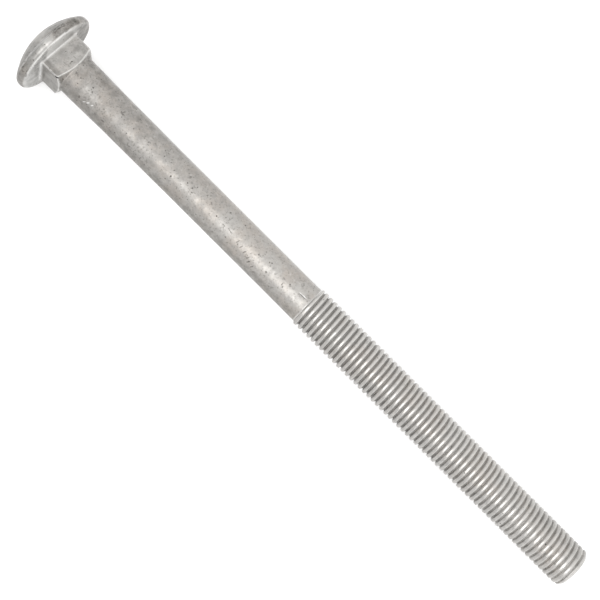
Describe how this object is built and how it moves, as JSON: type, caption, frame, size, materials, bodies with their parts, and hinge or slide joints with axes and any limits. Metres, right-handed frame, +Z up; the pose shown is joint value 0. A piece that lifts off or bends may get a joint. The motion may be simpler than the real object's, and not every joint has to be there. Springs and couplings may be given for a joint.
{
  "type": "carriage bolt",
  "caption": "Long galvanised carriage bolt with a low domed round head, a square neck, a plain shank and a long coarse thread, lying on its side.",
  "frame": {"origin": "centre of the bolt's box in plan, on the surface that it lies on", "axes": "+X along the bolt from its head to its threaded end, which drops 1.92 degrees below +X because the head's rim is wider than the thread; +Z up; two flats of the square neck face +Y and -Y"},
  "size_m": [0.3161, 0.0394, 0.0395],
  "materials": {
    "galvanised_steel": "satin hot-dip zinc, mottled, with dark specks and scratches"
  },
  "bodies": {
    "root": {"carriage_bolt": "galvanised_steel"}
  },
  "joints": []
}
